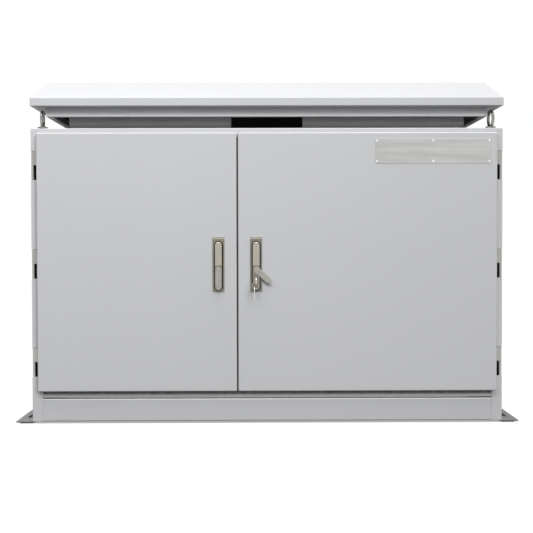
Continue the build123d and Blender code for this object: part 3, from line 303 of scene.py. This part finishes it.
def base_paint():
    """Dark grey satin paint with dust and a few scuffs."""
    made, tree, shader = material("base_paint", BASE, 0.5)
    dust = noise(tree, scale=26, detail=5, roughness=0.6)
    tone = mixed(tree, levels(tree, dust, 0, 1, start=0.35, end=0.75), BASE_CLEAN, BASE_DUST)
    normal, edge = soft_edges(tree, 0.001)
    tone = mixed(tree, levels(tree, edge, 0, 0.5), tone, BASE_EDGE)
    tree.links.new(tone, shader.inputs["Base Color"])
    tree.links.new(levels(tree, dust, 0.42, 0.62), shader.inputs["Roughness"])
    peel = noise(tree, scale=500, detail=2)
    tree.links.new(bump(tree, peel, distance=0.00005, strength=0.4, under=normal), shader.inputs["Normal"])
    return made


def galvanised():
    """Galvanised sheet with its spangle."""
    made, tree, shader = material("galvanised_sheet", ZINC, 0.4, 1.0)
    spangle = grey_cells(tree, 110)
    tree.links.new(ramp(tree, spangle, ZINC_SPANGLE, 0.1, 0.9), shader.inputs["Base Color"])
    tree.links.new(levels(tree, spangle, 0.30, 0.52), shader.inputs["Roughness"])
    grain = noise(tree, scale=240, detail=3)
    tree.links.new(bump(tree, grain, distance=0.00004, strength=0.4), shader.inputs["Normal"])
    return made


def brushed(name, dark, light, roughness, stretch, wear=STEEL_WEAR):
    """Metal brushed along the axis with the small stretch, brighter on its edges."""
    made, tree, shader = material(name, light, roughness, 1.0)
    streak = noise(tree, scale=60, detail=6, roughness=0.65, stretch=stretch)
    patch = noise(tree, scale=18, detail=3)
    tone = mixed(tree, levels(tree, streak, 0, 1, start=0.3, end=0.7), dark, light)
    tone = mixed(tree, levels(tree, patch, 0, 0.4, start=0.35, end=0.75), tone, dark)
    normal, edge = soft_edges(tree, 0.0006)
    tone = mixed(tree, levels(tree, edge, 0, 0.5), tone, wear)
    tree.links.new(tone, shader.inputs["Base Color"])
    rough = levels(tree, streak, roughness - 0.07, roughness + 0.10, start=0.3, end=0.7)
    tree.links.new(rough, shader.inputs["Roughness"])
    tree.links.new(bump(tree, streak, distance=0.00003, strength=0.35, under=normal), shader.inputs["Normal"])
    return made


def cast(name, cool, warm, roughness, face_of=None, fade=FACE_FADE):
    """Polished metal in two soft tints, with a painted highlight on what faces up and painted shade behind a
    face.
    """
    made, tree, shader = material(name, warm, roughness, 1.0)
    patch = noise(tree, scale=34, detail=3, roughness=0.6)
    tone = mixed(tree, levels(tree, patch, 0, 1, start=0.38, end=0.62), cool, warm)
    if face_of is not None:
        # Painted shade: darker behind the front face, in the recess
        tone = mixed(tree, behind(tree, box_of(face_of)[0][Y], fade), tone, CAST_RECESS_SHADE)
    normal = soft_edges(tree, 0.0009)[0]
    # Painted highlight: what faces up is paler
    upward = levels(tree, axis_of(tree, normal, Z), 0, 0.85, start=0.2, end=0.7)
    tone = mixed(tree, upward, tone, CAST_HIGHLIGHT)
    tree.links.new(tone, shader.inputs["Base Color"])
    grain = noise(tree, scale=700, detail=2)
    tree.links.new(levels(tree, grain, roughness - 0.06, roughness + 0.06), shader.inputs["Roughness"])
    tree.links.new(bump(tree, grain, distance=0.00002, strength=0.4, under=normal), shader.inputs["Normal"])
    return made


def rubber():
    """Black foam strip with open pores."""
    made, tree, shader = material("rubber_foam", FOAM, 0.85)
    pores = noise(tree, scale=1200, detail=2)
    tree.links.new(ramp(tree, pores, FOAM_PORES, 0.3, 0.7), shader.inputs["Base Color"])
    tree.links.new(levels(tree, pores, 0.75, 0.95), shader.inputs["Roughness"])
    tree.links.new(bump(tree, pores, distance=0.0002, strength=0.6), shader.inputs["Normal"])
    return made


# Finishes by material slot: two tones and a roughness, then for brushed metal the stretch of its streaks
# along X, Y and Z, and for cast metal the node behind whose face it takes painted shade
FINISHES = {
    "powder_coat": powder_coat("powder_coat"),
    "base_paint": base_paint(),
    "galvanised_sheet": galvanised(),
    "brushed_plate": brushed("brushed_plate", (0.46, 0.46, 0.455), (0.61, 0.61, 0.60), 0.36, (0.04, 1, 1)),
    "rivet_bright": brushed("rivet_bright", (0.80, 0.80, 0.79), (0.92, 0.92, 0.91), 0.25, (1, 1, 1)),
    "hinge_stainless": brushed("hinge_stainless", (0.31, 0.30, 0.29), (0.48, 0.47, 0.45), 0.33, (1, 1, 0.08)),
    "dish_cast": cast("dish_cast", (0.21, 0.205, 0.19), (0.27, 0.25, 0.18), 0.42, "lock_dish_left"),
    "handle_cast": cast(
        "handle_cast", (0.42, 0.40, 0.36), (0.48, 0.43, 0.34), 0.30, "lock_handle_left", HANDLE_FADE
    ),
    "cover_stainless": cast("cover_stainless", (0.34, 0.335, 0.325), (0.40, 0.385, 0.36), 0.28),
    "lock_cylinder": cast("lock_cylinder", (0.30, 0.28, 0.23), (0.36, 0.32, 0.23), 0.25),
    "key_nickel": brushed("key_nickel", (0.80, 0.79, 0.76), (0.96, 0.95, 0.92), 0.25, (0.2, 1, 1)),
    "eye_galvanised": brushed("eye_galvanised", (0.10, 0.10, 0.095), (0.62, 0.61, 0.58), 0.18, (1, 1, 1)),
    "zinc_plated": cast("zinc_plated", (0.40, 0.41, 0.43), (0.50, 0.50, 0.48), 0.30),
    "rubber_foam": rubber(),
    "copper": brushed("copper", (0.46, 0.22, 0.13), (0.72, 0.40, 0.26), 0.32, (0.05, 1, 1), COPPER_WEAR),
}

# Nodes that differ from the rest of their slot; the sill, post and curb coats carry bands of painted shade
OWN_FINISHES = {
    "sill_rail": powder_coat("powder_coat_sill_painted_shade", sill_painted_shade),
    "centre_post": powder_coat("powder_coat_post_painted_shade", post_painted_shade),
    "roof_curb": powder_coat("powder_coat_curb_painted_shade", curb_painted_shade),
    "key_ring": brushed("ring_steel", (0.34, 0.335, 0.31), (0.50, 0.49, 0.46), 0.30, (0.2, 1, 1), RING_WEAR),
}


def dress_nodes():
    """Gives every node of the frame its own finish or that of its material slot."""
    slots = {part["node"]: part["material_slot"] for part in frame["record"]["subparts"]}
    for node, piece in frame["nodes"].items():
        piece.data.materials.clear()
        piece.data.materials.append(OWN_FINISHES.get(node) or FINISHES[slots[node]])


# Floor, world and lamps
def shown_rays(tree):
    """1 for the rays that the camera, mirrors and glass send out."""
    path = tree.nodes.new("ShaderNodeLightPath")
    total = path.outputs["Is Camera Ray"]
    for name in ("Is Glossy Ray", "Is Transmission Ray"):
        total = combined(tree, "MAXIMUM", total, path.outputs[name])
    return total


def around_cabinet(tree):
    """1 on the floor around the cabinet, faint under its body and 0 under the feet's slots, which paints a
    shadow.
    """
    coordinates = tree.nodes.new("ShaderNodeTexCoord")
    foot_corner = box_of("base_rail_right")[1]
    body_half = box_of("side_panel_right")[1][X]
    sides = []
    for axis in (X, Y):
        distance = tree.nodes.new("ShaderNodeMath")
        distance.operation = "ABSOLUTE"
        tree.links.new(axis_of(tree, coordinates.outputs["Object"], axis), distance.inputs[0])
        sides.append(distance.outputs["Value"])
    total = levels(tree, sides[X], UNDER_GLOW, 0, start=body_half - UNDER_FADE, end=body_half)
    for distance, reach, inset in zip(sides, foot_corner, FOOT_INSET):
        half = reach - inset
        outside = levels(tree, distance, 0, 1, start=half - UNDER_FADE, end=half)
        total = combined(tree, "MAXIMUM", total, outside)
    return total


def add_floor():
    half = FLOOR_SIZE / 2
    mesh = bpy.data.meshes.new("floor")
    corners = [(-half, -half, 0), (half, -half, 0), (half, half, 0), (-half, half, 0)]
    mesh.from_pydata(corners, [], [(0, 1, 2, 3)])
    floor = bpy.data.objects.new("floor", mesh)
    floor.location.z = -FLOOR_DROP
    bpy.context.scene.collection.objects.link(floor)
    made, tree, shader = material("floor", FLOOR_TONE, 0.9)
    shader.inputs["Specular IOR Level"].default_value = 0.0
    shader.inputs["Emission Color"].default_value = (*WHITE, 1)
    shown = levels(tree, shown_rays(tree), 0, FLOOR_WHITE)
    # painted shadow: the glow is weaker under the cabinet and gone under the feet's slots
    glow = combined(tree, "MULTIPLY", shown, around_cabinet(tree))
    tree.links.new(glow, shader.inputs["Emission Strength"])
    mesh.materials.append(made)


def background(tree, color, strength):
    node = tree.nodes.new("ShaderNodeBackground")
    node.inputs["Color"].default_value = (*color, 1)
    node.inputs["Strength"].default_value = strength
    return node.outputs["Background"]


def add_world():
    """A faint fill for the lighting, and plain white wherever the background is seen."""
    world = bpy.data.worlds.new("studio")
    bpy.context.scene.world = world
    world.use_nodes = True
    tree = world.node_tree
    tree.nodes.clear()
    output = tree.nodes.new("ShaderNodeOutputWorld")
    mix = tree.nodes.new("ShaderNodeMixShader")
    tree.links.new(shown_rays(tree), mix.inputs["Fac"])
    tree.links.new(background(tree, WORLD_TINT, WORLD_FILL), mix.inputs[1])
    tree.links.new(background(tree, WHITE, 1.0), mix.inputs[2])
    tree.links.new(mix.outputs["Shader"], output.inputs["Surface"])


def add_sun(name, strength, tilt, turn, spread, mirrored):
    data = bpy.data.lights.new(name, "SUN")
    data.energy = strength
    data.angle = math.radians(spread)
    lamp = bpy.data.objects.new(name, data)
    lamp.visible_glossy = mirrored
    leaning = Matrix.Rotation(math.radians(tilt), 4, "X")
    lamp.matrix_world = Matrix.Rotation(math.radians(turn), 4, "Z") @ leaning
    bpy.context.scene.collection.objects.link(lamp)


def add_softbox():
    """A wide near lamp above the camera, so that the front grows darker downwards."""
    data = bpy.data.lights.new("softbox", "AREA")
    data.shape = "RECTANGLE"
    data.size, data.size_y = SOFTBOX_SIZE
    data.energy = SOFTBOX_POWER
    lamp = bpy.data.objects.new("softbox", data)
    lamp.visible_glossy = False
    leaning = Matrix.Rotation(math.radians(SOFTBOX_TILT), 4, "X")
    lamp.matrix_world = Matrix.Translation(SOFTBOX_AT) @ leaning
    bpy.context.scene.collection.objects.link(lamp)


add_camera()
dress_nodes()
add_floor()
add_world()
for name, sun in SUNS.items():
    add_sun(name, **sun)
add_softbox()

bpy.context.scene.view_settings.view_transform = "Standard"
